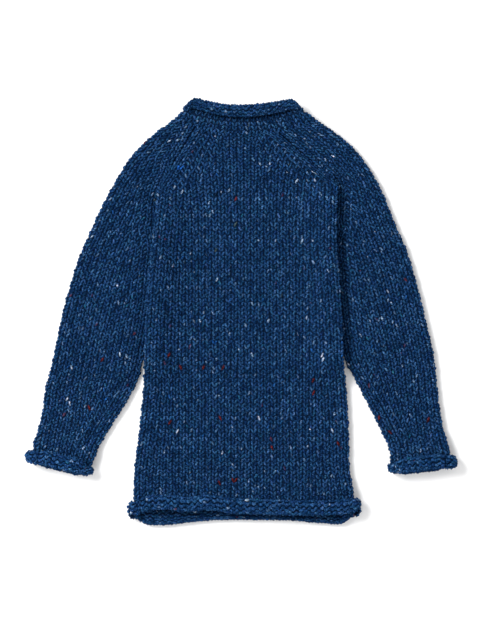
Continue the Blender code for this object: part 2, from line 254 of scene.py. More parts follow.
def roll(v, deep, front, nearest, length, out, spread, radii=CURL_RADII, pressed=1.0):
    """How far a point stands off its row's cloth, and forward of it, which changes in the curled edge."""
    share = np.clip((v - deep) / (ROLL_COURSES * COURSE), 0, 1)
    reach = np.interp(nearest / np.minimum(1.0, length / FULL_LENGTH), *CURL_REACH)
    away = ease(reach, 0.0, 1.0)
    middle_radius = np.where(front, radii[1], BACK_CURL.radius)
    middle_turn = np.where(front, FRONT_CURL.turn, BACK_CURL.turn)
    radius = radii[0] + (middle_radius - radii[0]) * away
    turn = np.radians(SIDE_CURL.turn + (middle_turn - SIDE_CURL.turn) * away)
    whole = turn - CURL_TIGHTENS * turn**2 / 2
    angle = (1 - np.sqrt(np.maximum(1 - 2 * CURL_TIGHTENS * share * whole, 0))) / CURL_TIGHTENS
    tight = radius * (1 - CURL_TIGHTENS * angle)
    wide = 1 + (spread - 1) * np.where(front, 1.0, 1 - away)
    stands = (radius - (tight - out) * np.cos(angle)) * (1 - (1 - pressed) * share * front)
    forward = wide * (tight - out) * np.sin(angle)
    return np.where(v > deep, stands, out), np.where(v > deep, forward, 0.0)


def edge_wave(v, nearest):
    """How far the small waves of a folded edge stand out, this near to it."""
    waves = sum(r.height * np.sin(v / r.length + r.start) for r in RIPPLES)
    return EDGE_WAVE * waves * (1 - ease(nearest, 0.0, WAVE_REACH))


def crease_depth(creases, x, y):
    """How far the creases sink the cloth at a place, with a slow swell between them."""
    turn = 2 * np.pi / SWELL_LENGTH
    depth = SWELL * np.sin(turn * (x + SWELL_SLANTS[0] * y)) * np.sin(turn * (y - SWELL_SLANTS[1] * x))
    for c in creases:
        run_x, run_y = c.to_x - c.x, c.to_y - c.y
        share = ((x - c.x) * run_x + (y - c.y) * run_y) / (run_x**2 + run_y**2)
        nearest = np.clip(share, 0, 1)
        across = np.hypot(x - c.x - nearest * run_x, y - c.y - nearest * run_y)
        fades = ease(share, *CREASE_ENDS) * ease(1 - share, *CREASE_ENDS)
        depth = depth + c.depth * np.exp(-((across / c.width) ** 2)) * fades
    return depth


def crease_rise(creases, x, y):
    """How far a layer that lies on the table is raised by its creases."""
    return np.maximum(crease_depth(creases, x, y) - SWELL, 0.0)


def body_row(v, front):
    """The body's row v below the neckband's seam: its plan, length and ends."""
    share = np.clip(v / RAGLAN_DEEP, 0, 1)
    shaped = v < RAGLAN_DEEP
    corners = []
    for raglan, side in ((LEFT_RAGLAN, "left"), (RIGHT_RAGLAN, "right")):
        neck_y = neck_seam(raglan.neck_x, front)
        seam_x = raglan.neck_x + share * (raglan.arm_x - raglan.neck_x)
        seam_y = neck_y + share * (raglan.arm_y - neck_y)
        below_y = np.interp(v, (RAGLAN_DEEP, SIDE_STARTS, BODY_DEEP), (raglan.arm_y, SIDE_TOP_Y, HEM_Y))
        y = np.where(shaped, seam_y, below_y) + np.maximum(-v, 0)
        x = np.where(shaped, seam_x, along(BODY_SIDES, side, y, "y"))
        corners.append((x, y, neck_y, raglan.neck_x))
    (left_x, left_y, left_neck, neck_left), (right_x, right_y, right_neck, neck_right) = corners

    def plan(across):
        neck_x = neck_left + across * (neck_right - neck_left)
        sinks = left_neck + across * (right_neck - left_neck) - neck_seam(neck_x, front)
        line_y = left_y + across * (right_y - left_y)
        return left_x + across * (right_x - left_x), line_y - sinks * (1 - share) ** 2

    y = (left_y + right_y) / 2
    curl = 1 - ease(y, FOLD_FULL_Y, LEFT_RAGLAN.arm_y)
    ends = [End(SIDE_FOLD, curl, lift * ramp(y, LIFT_RAMP), PUFF_FADES) for lift in (LEFT_LIFT, RIGHT_LIFT)]
    return plan, np.hypot(right_x - left_x, right_y - left_y), ends, left_x, y


def body_edges(v, front):
    """The cloth's width at a course, and how far along it the garment's middle lies."""
    _, length, ends, left_x, _ = body_row(np.minimum(v, BODY_DEEP), front)
    arc, inset = end_sizes(ends[0].fold, ends[0].curl)
    return cloth_width(length, ends), BODY_MIDDLE_X - left_x + arc - inset


def body_point(width_along, v, out, front):
    """A point of the front or the back, with the hem's roll after its last course."""
    flat_v = np.minimum(v, BODY_DEEP)
    plan, length, ends, _, y_row = body_row(flat_v, front)
    width, curl = cloth_width(length, ends), ends[0].curl
    nearest = np.minimum(width_along, width - width_along)
    out, forward = roll(v, BODY_DEEP, front, nearest, length, out, HEM_SPREAD)
    hem_lift = ROLL_LIFT * ease(-y_row, -HEM_Y - LIFT_LENGTH, -HEM_Y)

    def lift(y):
        return np.where(flat_v < RAGLAN_DEEP, neck_lift(y), hem_lift)

    x, y, z, share = on_cloth(plan, length, ends, width_along, front, out, lift)
    front_hangs, back_hangs = (along(HEM_WAVE, layer, share, "share") for layer in ("front", "back"))
    hangs = (front_hangs if front else back_hangs) * np.clip(1 - (BODY_DEEP - v) / HANG_STARTS, 0, 1)
    away = ease(nearest, *CREASES_FADE) * ease(BODY_DEEP - v, 0.0, CREASES_END)
    if front:
        opens = HEM_MOUTH * ease(v, BODY_DEEP - MOUTH_LENGTH, BODY_DEEP)
        opens = opens * ease(nearest, *MOUTH_FADES)
        seam = SEAM_DEPTH * (1 - ease(nearest, 0.0, SEAM_WIDTH)) * (1 - curl)
        z = z - crease_depth(BODY_CREASES, x, y) * away - seam + opens
    else:
        dip_at = BODY_DEEP - (back_hangs - front_hangs - CURL_COVERS) / (1 + back_hangs / HANG_STARTS)
        dip = DIP * np.exp(-(((v - dip_at) / DIP_LENGTH) ** 2)) * ease(nearest, *DIP_FADES)
        z = z - dip + crease_rise(BACK_CREASES, x, y) * away
    wavy = edge_wave(v, nearest) * np.where(share < 0.5, -1, 1) * curl
    return np.stack([x + wavy, y - hangs - forward, z], -1)


# A piece of knitting: its width and middle line at a course, where a point of it lies, its courses before the
# curl, its wales, and whether its middle line is a fold. Its stitches are placed by an offset from that line or
# an edge, or round a tube by a share.
Piece = namedtuple("Piece", "edges point flat_courses up wale edge_wale middle_folds")
Stitches = namedtuple("Stitches", "half edge offset share v wale")

# How far the wales wander from their line, and the lengths of that along and across them
WANDER = 0.32
Wander = namedtuple("Wander", "along across")
WANDERS = (Wander(57, 41), Wander(23, -17))


def split(offset, width, parts):
    """A place across the cloth, shared between smaller stitches."""
    return [(offset - width / 2 + (k + 0.5) * width / parts, width / parts) for k in range(parts)]


def knit(piece, courses, crowd=1):
    """The stitches of a piece: the wales run from its middle line, and the outer ones follow its edges.

    Crowd is how many stitches go into a wale at a fold, where the curled edge swells round it.
    """
    found = []
    for course in courses:
        v = (course + 0.5) * COURSE
        width, middle = (float(x) for x in piece.edges(np.float64(min(v, piece.flat_courses * COURSE))))
        wale = piece.wale(v)
        for half in (-1, 1):
            reach = middle if half < 0 else width - middle
            inner = reach - EDGE_WALES * piece.edge_wale
            count = max(int(round(inner / wale)), 1)
            eased = min(EASED_WALES, count)
            widths = np.full(count, wale)
            widths[count - eased:] += (inner - count * wale) / eased
            offsets = np.cumsum(widths) - widths / 2
            places = list(zip(offsets, widths))
            if piece.middle_folds:
                places = split(*places[0], crowd) + places[1:]
            found += [(half, False, o, 0.0, v, w) for o, w in places]
            for k in range(EDGE_WALES):
                places = split((k + 0.5) * piece.edge_wale, piece.edge_wale, crowd if k == 0 else 1)
                found += [(half, True, o, 0.0, v, w) for o, w in places]
    return Stitches(*(np.array(column) for column in zip(*found)))


def width_at(piece, stitches, v):
    """How far along the cloth the middles of the stitches lie at v."""
    width, middle = piece.edges(np.minimum(v, piece.flat_courses * COURSE))
    half, edge, offset, share = (a[:, None] for a in stitches[:4])
    wander = sum(np.sin(2 * np.pi * (v / w.along + offset / w.across)) for w in WANDERS)
    inner = middle + half * offset + WANDER * wander
    return share * width + np.where(edge, np.where(half < 0, offset, width - offset), inner)


# A strand's own middle line, in wales across and courses up, its height over the cloth's middle, and its
# thickness. A stitch is two strands, one of them mirrored, and on the wrong side it shows as two bumps.
Node = namedtuple("Node", "across up out half_width half_height")
KNIT_RIGHT = (
    Node(0.03, -0.76, -0.7, 0, 0),
    Node(0.11, -0.42, 0.50, 1.30, 1.15),
    Node(0.235, 0.02, 1.05, 1.58, 1.35),
    Node(0.355, 0.42, 0.50, 1.35, 1.15),
    Node(0.42, 0.76, -0.7, 0, 0),
)
KNIT_LEFT = tuple(n._replace(across=-n.across) for n in KNIT_RIGHT)
PURL_FROWN = (
    Node(-0.44, -0.16, -0.3, 0, 0),
    Node(-0.24, 0.06, -1.1, 1.15, 1.1),
    Node(0.00, 0.17, -1.6, 1.35, 1.3),
    Node(0.24, 0.06, -1.1, 1.15, 1.1),
    Node(0.44, -0.16, -0.3, 0, 0),
)
SMILE_SIZE = 0.85
PURL_SMILE = tuple(
    n._replace(across=0.5 + SMILE_SIZE * n.across, up=-n.up, out=SMILE_SIZE * n.out) for n in PURL_FROWN
)
STRAND_SIDES, RINGS = 5, len(KNIT_RIGHT) - 2
STRAND_POINTS = RINGS * STRAND_SIDES + 2
PLIES, PLY_LENGTH = 2, 6.5

# How far a strand slips across, up and out, how much its stoutness varies, and where the yarn rests
SLIP, STOUTNESS_VARIES = (0.26, 0.30, 0.13), 0.10
RESTS_AT = -0.4


def strand(nodes):
    """A strand's points, how far its plies have turned, and its triangles: a tip, rings and a tip."""
    line = np.array([(n.across * WALE, n.up * COURSE) for n in nodes])
    tangent = np.gradient(line, axis=0)
    tangent /= np.linalg.norm(tangent, axis=1)[:, None]
    turns = np.arange(STRAND_SIDES) * 2 * np.pi / STRAND_SIDES - np.pi / 2
    run = np.concatenate([[0.0], np.cumsum(np.hypot(*np.diff(line, axis=0).T))]) / PLY_LENGTH
    turned = [r + k / STRAND_SIDES for r in run[1:-1] for k in range(STRAND_SIDES)]
    twist = PLIES * np.array([run[0] + 0.5, *turned, run[-1] + 0.5])
    points, rings = [(*line[0], nodes[0].out)], []
    for n, centre, (tx, ty) in zip(nodes[1:-1], line[1:-1], tangent[1:-1]):
        rings.append(len(points) + np.arange(STRAND_SIDES))
        for a in turns:
            aside, above = n.half_width * math.cos(a), n.half_height * math.sin(a)
            points.append((centre[0] + ty * aside, centre[1] - tx * aside, n.out + above))
    points.append((*line[-1], nodes[-1].out))
    triangles = []
    for k in range(STRAND_SIDES):
        m = (k + 1) % STRAND_SIDES
        triangles += [(0, rings[0][m], rings[0][k]), (len(points) - 1, rings[-1][k], rings[-1][m])]
        for low, high in zip(rings, rings[1:]):
            triangles += [(low[k], low[m], high[m]), (low[k], high[m], high[k])]
    return np.array(points), twist, np.array(triangles)


def outward(points, triangles):
    """The triangles, turned so that closed shapes face outwards."""
    a, b, c = (points[triangles[:, k]] for k in range(3))
    return triangles if np.einsum("ij,ij->i", a, np.cross(b, c)).sum() > 0 else triangles[:, ::-1]


def lay_strands(piece, stitches, nodes, rng):
    """One strand for each stitch, bent with the cloth: its points in millimetres, triangles and twist."""
    shape, twist, triangles = strand(nodes)
    count = len(stitches.v)
    slip = rng.normal(0, 1, (count, 3)) * SLIP
    stout = 1 + rng.normal(0, STOUTNESS_VARIES, (count, 1))
    scale = stitches.wale[:, None] / WALE
    v = stitches.v[:, None] + piece.up * (shape[:, 1] + slip[:, 1:2])
    across = width_at(piece, stitches, v) + shape[:, 0] * scale + slip[:, :1]
    out = shape[:, 2] * stout + slip[:, 2:]
    points = piece.point(across, v, out).reshape(-1, 3)
    points[:, 2] = np.maximum(points[:, 2], RESTS_AT)
    faces = (triangles[None] + np.arange(count)[:, None, None] * len(shape)).reshape(-1, 3)
    return points, faces, (twist + rng.random((count, 1))).ravel()


# The yarn's colours, in linear light: the navy, how it varies along the yarn, between strands and in a strand,
# and the flecks in it, with how many strands in a thousand have one.
NAVY = np.array((0.0088, 0.042, 0.124))
MARL_RUN, SLOW_TONE, STRAND_TONE, POINT_TONE = 30, 0.07, 0.25, 0.28
TONE_BENDS = (1.5, 1.05, 0.8)
TINT_VARIES, TINT_SHARES = 0.05, (1.5, 1.0, 0.6)
Fleck = namedtuple("Fleck", "per_thousand colour strength")
FLECKS = (
    Fleck(8, (0.44, 0.58, 0.76), 0.95),
    Fleck(48, (0.22, 0.35, 0.53), 0.85),
    Fleck(95, (0.10, 0.20, 0.36), 0.75),
    Fleck(20, (0.010, 0.085, 0.33), 0.8),
    Fleck(10, (0.012, 0.13, 0.20), 0.7),
    Fleck(5.5, (0.085, 0.012, 0.009), 0.95),
    Fleck(26, (0.002, 0.006, 0.013), 0.8),
    Fleck(3.5, (0.06, 0.07, 0.02), 0.7),
)
FLECK_STRENGTHS = (0.5, 1.0)

# A few large flecks that stand out: where each lies and how many strands it covers, and on which of their sides
PALE, RUST, BRIGHT = (0.44, 0.56, 0.74), (0.072, 0.010, 0.010), (0.012, 0.10, 0.42)
BODY_MARKS = {
    PALE: (
        (100.6, -55.6, 2), (-76.9, -148.1, 1), (111.9, -146.9, 1), (44.4, -223.1, 1), (21.9, -134.4, 1),
        (-74.4, 148.1, 1), (93.1, 174.4, 1),
    ),
    RUST: (
        (-8.1, -208.1, 2), (-24.4, -214.4, 1), (36.9, -169.4, 1), (-89.4, -51.9, 1), (-74.4, -69.4, 1),
        (-45.6, -69.4, 1), (-21.9, -70.6, 1), (-26.9, -133.1, 1), (-85.6, -138.1, 1), (89.4, -83.1, 1),
        (90.6, -100.6, 1), (123.1, -166.9, 1),
    ),
    BRIGHT: ((-75.6, 180.6, 2),),
}
MARK_SIDES = {PALE: (2,), RUST: (2, 3), BRIGHT: (2, 3)}
MARK_REACH, LOWER_LAYER = 4.0, 3.0


def mark(colours, points, marks):
    """Colour the strands that lie uppermost at each mark."""
    strands = colours.reshape(-1, STRAND_POINTS, 3)
    middles = points.reshape(-1, STRAND_POINTS, 3).mean(1)
    for colour, places in marks.items():
        stroke = [1 + ring * STRAND_SIDES + side for ring in range(RINGS) for side in MARK_SIDES[colour]]
        for x, y, count in places:
            far = np.hypot(middles[:, 0] - x, middles[:, 1] - y)
            top = middles[far < MARK_REACH, 2].max(initial=0.0)
            far[middles[:, 2] < top - LOWER_LAYER] += MARK_REACH
            strands[np.argsort(far)[:count, None], stroke] = colour


def dye(count, rng):
    """The colour of each point of the strands: a slow marl along the yarn, and flecks on a few rings."""
    noise = rng.normal(0, 1, count + 2 * MARL_RUN)
    slow = np.convolve(noise, np.ones(MARL_RUN) / math.sqrt(MARL_RUN), "same")[MARL_RUN:-MARL_RUN]
    tone = np.exp(SLOW_TONE * slow + STRAND_TONE * rng.normal(0, 1, count))
    tint = 1 + rng.normal(0, TINT_VARIES, (count, 3)) * TINT_SHARES
    colour = np.repeat((NAVY * tone[:, None] ** TONE_BENDS * tint)[:, None], STRAND_POINTS, 1)
    colour *= np.exp(rng.normal(0, POINT_TONE, (count, STRAND_POINTS, 1))) ** TONE_BENDS
    rings = 1 + np.arange(RINGS * STRAND_SIDES).reshape(RINGS, STRAND_SIDES)
    for fleck in FLECKS:
        for k in np.flatnonzero(rng.random(count) < fleck.per_thousand / 1000):
            first, side, wide = rng.integers(0, RINGS), rng.integers(0, STRAND_SIDES), rng.integers(1, 3)
            on = rings[first:first + rng.integers(1, RINGS + 1)]
            on = on[:, (side + np.arange(wide)) % STRAND_SIDES].ravel()
            share = fleck.strength * rng.uniform(*FLECK_STRENGTHS)
            colour[k, on] += share * (np.array(fleck.colour) - colour[k, on])
    return colour.reshape(-1, 3)


def mesh_object(name, points, triangles, material, colour=None, twist=None):
    """A mesh of triangles, with the wool's colour and the yarn's twist on strands."""
    mesh = bpy.data.meshes.new(name)
    mesh.vertices.add(len(points))
    mesh.vertices.foreach_set("co", (points * MM).astype(np.float32).ravel())
    mesh.loops.add(triangles.size)
    mesh.loops.foreach_set("vertex_index", triangles.astype(np.int32).ravel())
    mesh.polygons.add(len(triangles))
    mesh.polygons.foreach_set("loop_start", np.arange(0, triangles.size, 3, dtype=np.int32))
    mesh.update(calc_edges=True)
    mesh.validate()
    mesh.shade_smooth()
    if colour is not None:
        with_alpha = np.column_stack([colour, np.ones(len(colour))])
        layer = mesh.attributes.new("wool", "FLOAT_COLOR", "POINT")
        layer.data.foreach_set("color", with_alpha.astype(np.float32).ravel())
        layer = mesh.attributes.new("twist", "FLOAT", "POINT")
        layer.data.foreach_set("value", twist.astype(np.float32))
    mesh.materials.append(material)
    obj = bpy.data.objects.new(name, mesh)
    bpy.context.scene.collection.objects.link(obj)
    return obj


def knitted_object(name, piece, right_side, wrong_side, seed, marks, material, painted_light):
    """All the strands of a piece: V stitches on its right side, and bumps on its wrong side, lightened as
    painted light.
    """
    rng = np.random.default_rng(seed)
    columns, start = [], 0
    for stitches, nodes, light in (
        (right_side, KNIT_LEFT, 1.0),
        (right_side, KNIT_RIGHT, 1.0),
        # The wrong side's colour is scaled up here: painted light, for the light on the curled edges.
        (wrong_side, PURL_FROWN, painted_light),
        (wrong_side, PURL_SMILE, painted_light),
    ):
        points, triangles, twist = lay_strands(piece, stitches, nodes, rng)
        columns.append((points, outward(points, triangles) + start, dye(len(stitches.v), rng) * light, twist))
        start += len(points)
    points, triangles, colours, twist = (np.concatenate(column) for column in zip(*columns))
    mark(colours, points, marks or {})
    return mesh_object(name, points, triangles, material, colours, twist)


# The heights of the shell's two sides over the cloth's middle
SHELL_OUT, SHELL_IN = 0.45, -0.75


def cloth_shell(name, piece, columns, courses, material, closed=False):
    """The cloth under the stitches, as a closed wall, and its flat area in square metres."""
    v = np.arange(courses + 1) * COURSE
    width = piece.edges(np.minimum(v, piece.flat_courses * COURSE))[0] * np.ones(len(v))
    across = width[:, None] * np.linspace(0, 1, columns, endpoint=not closed)
    v_grid = np.repeat(v[:, None], columns, 1)
    sides = [piece.point(across, v_grid, np.full(across.shape, out)) for out in (SHELL_OUT, SHELL_IN)]
    index = np.arange(across.size).reshape(across.shape)
    if closed:
        index = np.column_stack([index, index[:, 0]])
    inner = index + across.size
    strips = [
        (index[:-1, :-1], index[:-1, 1:], index[1:, 1:], index[1:, :-1]),
        (inner[:-1, :-1], inner[1:, :-1], inner[1:, 1:], inner[:-1, 1:]),
        (index[0, :-1], inner[0, :-1], inner[0, 1:], index[0, 1:]),
        (index[-1, :-1], index[-1, 1:], inner[-1, 1:], inner[-1, :-1]),
    ]
    if not closed:
        strips.append((index[:-1, 0], index[1:, 0], inner[1:, 0], inner[:-1, 0]))
        strips.append((index[:-1, -1], inner[:-1, -1], inner[1:, -1], index[1:, -1]))
    quads = np.concatenate([np.stack(corners, -1).reshape(-1, 4) for corners in strips])
    triangles = np.concatenate([quads[:, [0, 1, 2]], quads[:, [0, 2, 3]]])
    points = np.concatenate(sides).reshape(-1, 3)
    points[:, 2] = np.maximum(points[:, 2], RESTS_AT)
    area = float(((width[1:] + width[:-1]) / 2).sum() * COURSE) * MM**2
    return mesh_object(name, points, outward(points, triangles), material), area


# The yarn's lightness: how fibres change it, how far the plies' twist paints shade in their grooves and a
# highlight on their crests, how much is taken off, its least and its whole strength, and how much redder it is
# where it is strong, and bluer where it is weak
FIBRE_LIGHT, PLY_PAINTED_SHADE, TAKEN_OFF, LEAST_LIGHT, YARN_LIGHT = 8.2, 0.28, 3.1, 0.14, 0.82
RED_BEND, BLUE_BEND = 0.6, 0.16
FUZZ_HEIGHT, PLY_HEIGHT = 0.6, 0.25

# Painted shade on the cloth behind the strands, for the shade between them, and its darkest and lightest tones
PAINTED_SHADE, PAINTED_SHADE_TONES = (0.0022, 0.009, 0.027), (0.5, 1.6)

# A colour mix's sockets: its factor, its two colours and its result
FACTOR, COLOUR_A, COLOUR_B, RESULT = 0, 6, 7, 2


class Shade:
    """A socket of a material, on which sums are done as on numbers."""

    def __init__(self, tree, socket):
        self.tree, self.socket = tree, socket

    def maths(self, operation, *values):
        return node(self.tree, "ShaderNodeMath", {"operation": operation}, dict(enumerate(values)))

    def __add__(self, other):
        return self.maths("ADD", self, other)

    def __mul__(self, other):
        return self.maths("MULTIPLY", self, other)

    def __sub__(self, other):
        return self.maths("SUBTRACT", self, other)

    def __rsub__(self, other):
        return self.maths("SUBTRACT", other, self)

    __radd__, __rmul__ = __add__, __mul__


def node(tree, kind, settings, sockets, output=0):
    """A node of a material, with its settings first and then the values or links of its sockets."""
    made = tree.nodes.new(kind)
    for name, value in settings.items():
        setattr(made, name, value)
    for name, value in sockets.items():
        if isinstance(value, Shade):
            tree.links.new(value.socket, made.inputs[name])
        else:
            made.inputs[name].default_value = value
    return Shade(tree, made.outputs[output])


def principled(name, constants):
    """A new material, its nodes and its shader."""
    material = bpy.data.materials.new(name)
    material.use_nodes = True
    shader = material.node_tree.nodes["Principled BSDF"]
    for socket, value in constants.items():
        shader.inputs[socket].default_value = value
    return material, material.node_tree, shader


def noise(tree, **sockets):
    """Noise in the object's own space."""
    place = node(tree, "ShaderNodeTexCoord", {}, {}, "Object")
    return node(tree, "ShaderNodeTexNoise", {}, {"Vector": place, **sockets})


def dress(tree, shader, blend, mixed, bump):
    """Give a shader its colour, mixed from two, and its bump."""
    colour = node(tree, "ShaderNodeMix", {"data_type": "RGBA", "blend_type": blend}, mixed, RESULT)
    normal = node(tree, "ShaderNodeBump", {}, bump)
    tree.links.new(colour.socket, shader.inputs["Base Color"])
    tree.links.new(normal.socket, shader.inputs["Normal"])


def tweed_yarn(name):
    """Two-ply wool: its dyed colour, the mixture of fibres, and a fuzzy, twisted surface."""
    material, tree, shader = principled(name, {"Roughness": 0.95, "Specular IOR Level": 0.02})
    dyed = node(tree, "ShaderNodeAttribute", {"attribute_name": "wool"}, {})
    fibres = noise(tree, Scale=760.0, Detail=3.0, Roughness=0.68)
    fuzz = noise(tree, Scale=1500.0, Detail=2.0, Roughness=0.7)
    twist = node(tree, "ShaderNodeAttribute", {"attribute_name": "twist"}, {}, "Fac") * (2 * math.pi)
    ply = twist.maths("SINE", twist)
    # The plies' twist paints shade into the colour along their grooves and a highlight on their crests.
    spread = fibres * FIBRE_LIGHT + ply * PLY_PAINTED_SHADE - TAKEN_OFF
    light = spread.maths("MAXIMUM", spread, LEAST_LIGHT) * YARN_LIGHT
    red, blue = light * (light * RED_BEND + (1 - RED_BEND)), light * ((1 + BLUE_BEND) - light * BLUE_BEND)
    tone = node(tree, "ShaderNodeCombineColor", {}, {"Red": red, "Green": light, "Blue": blue})
    mixed = {FACTOR: 1.0, COLOUR_A: dyed, COLOUR_B: tone}
    height = fibres + fuzz * FUZZ_HEIGHT + ply * PLY_HEIGHT
    dress(tree, shader, "MULTIPLY", mixed, {"Strength": 0.6, "Distance": 0.0006, "Height": height})
    return material


def painted_shade_material(name):
    """The cloth between and behind the strands, coloured dark as painted shade for the little light there."""
    material, tree, shader = principled(name, {"Roughness": 1.0, "Specular IOR Level": 0.03})
    fibres = noise(tree, Scale=500.0, Detail=3.0)
    dark, pale = ((*(c * tone for c in PAINTED_SHADE), 1) for tone in PAINTED_SHADE_TONES)
    mixed = {FACTOR: fibres, COLOUR_A: dark, COLOUR_B: pale}
    dress(tree, shader, "MIX", mixed, {"Strength": 0.7, "Distance": 0.0008, "Height": fibres})
    return material


yarn = tweed_yarn("tweed_yarn")
painted_shade_cloth = painted_shade_material("tweed_painted_shade")


def body_wale(v):
    """The wales stand a little further apart near the neck."""
    return float(WALE + (NECK_WALE - WALE) * (1 - ease(v, 0, NECK_FANS)))


def body_piece(front):
    return Piece(
        edges=lambda v: body_edges(v, front),
        point=lambda across, v, out: body_point(across, v, out, front),
        flat_courses=BODY_COURSES,
        up=-1,
        wale=body_wale,
        edge_wale=WALE,
        middle_folds=False,
    )


def knitted_piece(
    name, piece, right_side, wrong_side, columns, seed, flat_width, rests_on,
    # The wrong side's strands are painted lighter by this share: painted light on the curled edges.
    marks=None, closed=False, painted_light=1.2,
):
    """A piece's cloth and stitches, which stand for its solid."""
    courses = int(piece.flat_courses) + 1 + ROLL_COURSES
    cloth, area = cloth_shell(name + "_cloth", piece, columns, courses, painted_shade_cloth, closed)
    stitches = knitted_object(name + "_stitches", piece, right_side, wrong_side, seed, marks, yarn, painted_light)
    for obj in (cloth, stitches):
        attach(obj, "root")
    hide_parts(name)


# On the wrong side the courses lie closer, and the curl goes on a little past its last course
PURL_SPACING, PAST_LAST, CROWD = 0.66, 0.9, 3


def curled_courses(piece, inside):
    """The courses whose wrong side shows: the last few inside the opening, and the curled edge."""
    last = int(piece.flat_courses)
    return np.arange(last - inside, last + ROLL_COURSES + PAST_LAST, PURL_SPACING)


def body_stitches(piece):
    right_side = knit(piece, range(int(piece.flat_courses) + 2))
    return right_side, knit(piece, curled_courses(piece, inside=5), CROWD)


front = body_piece(True)
knitted_piece(
    "front", front, *body_stitches(front),
    columns=70, seed=11, flat_width=0.295, rests_on=["back_cloth"], marks=BODY_MARKS,
)


# The back is a panel like the front, a little higher at the neck. It lies under the front, right side down on
# the table, and its edge curls up under the front's.

back = body_piece(False)
knitted_piece(
    "back", back, *body_stitches(back), columns=70, seed=12, flat_width=0.295, rests_on=["table_top"]
)


# Each sleeve is one piece, knitted from the cuff up and folded along the arm, with its seam underneath. It is
# narrowed to the raglan seams at the top, its wales run along the outer fold, and its cuff curls up.

SLEEVE_WALE, SLEEVE_EDGE_WALE = 7.9, 7.6

# The gaps at its seams with the body, and how far it reaches under the body's side and into the underarm
RAGLAN_GAP, UNDERARM_GAP = 0.35, 1.5
TUCK_DEPTH, TUCK_RAMP = 10.0, Ramp(-50, -26, 90, 116)
UNDERARM_REACH, UNDERARM_RAMP = 6.5, Ramp(60, 100, 164, 188)

# Its rows, from the neck down the raglan seams and then along the arm
Shoulder = namedtuple("Shoulder", "share left_x left_y right_x right_y")
SHOULDER_ROWS = (
    Shoulder(0.0, NECK_LEFT, NECK_SEAM_Y, NECK_RIGHT, NECK_SEAM_Y),
    Shoulder(0.34, -109.3, 220.5, 117.5, 223.8),
    Shoulder(0.70, -136.3, 194.3, 144, 201.2),
    Shoulder(1.0, -155.5, 164.5, 167, 169),
)
Arm = namedtuple("Arm", "outer_x outer_y inner_x inner_y")
LEFT_ARM = (
    Arm(-167, 144, -106.5, 130),
    Arm(-178, 122, -109, 107),
    Arm(-188, 100, -110.5, 82),
    Arm(-201, 70, -113.5, 48),
    Arm(-213, 33, -117, 7),
    Arm(-224.5, -10.5, -119.5, -38),
    Arm(-231, -42, -119.5, -62),
    Arm(-237, -70, -126, -87),
    Arm(-243, -92, -139.5, -113),
    Arm(-248, -125.5, -159.7, -144.3),
    Arm(-254, -152, -173.2, -167.3),
    Arm(-259, -182.5, -184.0, -194.5),
)
RIGHT_ARM = (
    Arm(178, 148, 121.5, 134),
    Arm(187, 125.5, 120.5, 112),
    Arm(195, 105.5, 120.5, 84),
    Arm(206.5, 80, 123, 52),
    Arm(222, 29, 127, 8),
    Arm(233.8, -20.5, 128, -38),
    Arm(239.3, -43, 128.5, -62),
    Arm(243.4, -68, 141.5, -87),
    Arm(246, -95.5, 155.5, -114),
    Arm(250.5, -129.5, 171.2, -145.5),
    Arm(255, -155, 182.3, -170),
    Arm(261.5, -187, 184.3, -193),
)
SLEEVE_MARKS = {
    -1: {
        PALE: ((-210.6, -69.4, 1), (-216.9, -106.9, 1), (-211.9, -114.4, 1)),
        RUST: ((-171.9, -61.9, 1), (-189.4, -121.9, 1), (-121.9, 210.6, 1)),
    },
    1: {
        PALE: ((115.6, 193.1, 1),),
        RUST: ((173.1, -133.1, 1), (233.1, -133.1, 1), (184.4, -151.9, 1)),
    },
}
UNDERARM_CURL = 0.6

# The cuff's front is drawn up and its back hangs lower, its edge tilts, and its outer side bulges above it
SEAM_CURL_RADIUS, CUFF_SPREAD, CUFF_MOUTH = 2.0, 1.3, 2.5
CUFF_DRAWN, CUFF_HANGS, DRAWN_LENGTH, DRAWN_FADES = 3.5, 5.6, 45.0, (2.0, 18.0)
CUFF_TILT = {-1: 3.0, 1: 1.3}
CUFF_BUMP, BUMP_ABOVE, BUMP_LENGTH, BUMP_REACH = 2.4, 16.0, 9.0, 12.0

# The sleeves sink beside the body's raised sides, the right one most, in a valley with a flat part next to
# the side. Past it and under the side the right sleeve is rounder.
Valley = namedtuple("Valley", "depth flat width rise tucked_rise")
VALLEYS = {-1: Valley(3.4, 0.0, 13.0, 0.0, 0.0), 1: Valley(7.0, 4.0, 6.0, 4.2, 2.3)}
VALLEY_RAMP, UNDER_BODY = Ramp(-112, -76, 160, 186), 4.0
RISE_RAMP, RISE_FADES = Ramp(5.0, 15.0, 36.0, 84.0), 30.0
TUCKED_RISES, TUCKED_FADES = (1.5, 6.0), 5.0

# How far the front of a sleeve can sink before it touches the back
SINKS_MOST = 2.9
SLEEVE_CREASES_FADE, SLEEVE_CREASES_END = 8.0, 22.0
SLEEVE_CREASES = {
    -1: (
        Crease(-124, -88, -184, -135, 3.0, 5.2),
        Crease(-170, -113, -193, -172, 3.0, 4.6),
        Crease(-120, -62, -162, -107, 2.8, 4.2),
        Crease(-138, -112, -178, -146, 4.5, -3.2),
        Crease(-160, -70, -182, -120, 7, 0.8),
        Crease(-215, -60, -232, -130, 9, 0.7),
        Crease(-128, 120, -150, 60, 7, 0.8),
        Crease(-150, 150, -176, 90, 8, -0.7),
        Crease(-190, 40, -205, -30, 14, 0.7),
        Crease(-205, -150, -240, -172, 8, 0.7),
    ),
    1: (
        Crease(209, -126, 214, -172, 3.2, 2.2),
        Crease(248, -140, 250, -168, 3.0, 2.0),
        Crease(233, -120, 236, -170, 3.0, 1.0),
        Crease(196, -110, 203, -172, 4.0, 0.8),
        Crease(150, -40, 172, -96, 8, 0.8),
        Crease(150, 150, 180, 84, 8, -0.7),
        Crease(136, 120, 156, 50, 8, 0.8),
        Crease(190, 30, 210, -50, 13, 0.8),
        Crease(226, -60, 238, -110, 6, 0.7),
    ),
}
